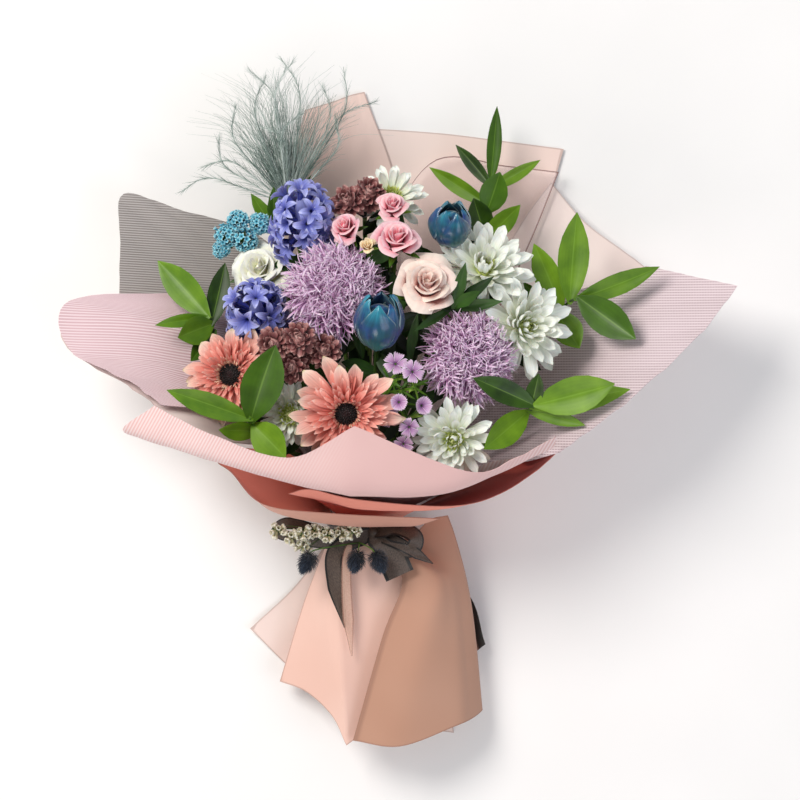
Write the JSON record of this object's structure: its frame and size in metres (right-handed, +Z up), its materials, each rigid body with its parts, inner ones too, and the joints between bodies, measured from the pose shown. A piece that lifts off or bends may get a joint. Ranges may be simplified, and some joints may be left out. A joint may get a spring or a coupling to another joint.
{
  "type": "flower bouquet",
  "caption": "Mixed hand-tied flower bouquet lying on its back in layered paper and net wrap, with a dark ribbon and a small dried posy at the tie.",
  "frame": {"origin": "middle of the footprint, on the surface the bouquet lies on", "axes": "+Z up from the surface, +Y from the skirt of the wrapper to the flower heads, +X to the right of somebody who looks down on the blooms"},
  "size_m": [0.6032, 0.6312, 0.2198],
  "materials": {
    "peach_paper": "matt peach kraft-type wrapping paper",
    "pale_paper": "matt pale pink wrapping paper",
    "film": "thin clear film",
    "grey_mesh": "fine grey net wrap",
    "pink_paper": "ribbed pink wrapping sheet",
    "coral_paper": "matt coral side of the outer sheets",
    "gerbera_petal": "soft coral petal",
    "flower_eye": "velvety dark eye",
    "tulip_petal": "satin dyed blue petal",
    "lavender_floret": "narrow lavender florets",
    "white_petal": "white petal",
    "blush_petal": "blush rose petal",
    "rose_petal": "pink rose petal",
    "peach_petal": "peach rose petal",
    "cream_petal": "cream rose petal",
    "hyacinth_floret": "waxy blue-violet floret",
    "brown_bract": "dry burgundy bract",
    "dianthus_floret": "pale purple floret",
    "teal_floret": "small teal floret",
    "green_leaf": "glossy green leaf",
    "dark_leaf": "dark green leaf",
    "dried_grass": "dried feather grass",
    "dark_ribbon": "smoky organza ribbon",
    "sheer_ribbon": "sheer pale ribbon",
    "dried_flower": "dried cream baby's-breath",
    "hare_tail": "dyed hare's-tail grass",
    "stem": "cut green stems"
  },
  "bodies": {
    "root": {"back_paper": "peach_paper", "left_paper": "peach_paper", "skirt_left": "peach_paper", "skirt_right": "peach_paper", "skirt_under": "peach_paper", "right_paper": "pale_paper", "film": "film", "mesh_left_back": "grey_mesh", "mesh_left": "grey_mesh", "mesh_right": "grey_mesh", "lining_left": "pink_paper", "front_cuff": "pink_paper", "collar_left": "coral_paper", "collar_right": "coral_paper", "gerbera_front": "gerbera_petal", "gerbera_left": "gerbera_petal", "gerbera_front_eye": "flower_eye", "gerbera_left_eye": "flower_eye", "tulip_lower": "tulip_petal", "tulip_upper": "tulip_petal", "lavender_left": "lavender_floret", "lavender_right": "lavender_floret", "white_mum_front": "white_petal", "white_mum_right": "white_petal", "white_mum_upper": "white_petal", "white_mum_left": "white_petal", "white_mum_back": "white_petal", "rose_blush": "blush_petal", "rose_pink_right": "rose_petal", "rose_pink_left": "rose_petal", "rose_pink_top": "rose_petal", "rose_peach_bud": "peach_petal", "rose_cream": "cream_petal", "hyacinth_upper": "hyacinth_floret", "hyacinth_lower": "hyacinth_floret", "brown_heads_lower": "brown_bract", "brown_heads_back": "brown_bract", "dianthus_spray": "dianthus_floret", "teal_filler": "teal_floret", "leaves_top_right": "green_leaf", "leaves_right_upper": "green_leaf", "leaves_right_lower": "green_leaf", "leaves_left_lower": "green_leaf", "leaves_left_upper": "green_leaf", "leaves_hyacinth": "green_leaf", "leaves_middle": "dark_leaf", "feather_grass": "dried_grass", "ribbon": "dark_ribbon", "sheer_tail": "sheer_ribbon", "gypsophila": "dried_flower", "hare_tails": "hare_tail", "stems": "stem"}
  },
  "joints": []
}
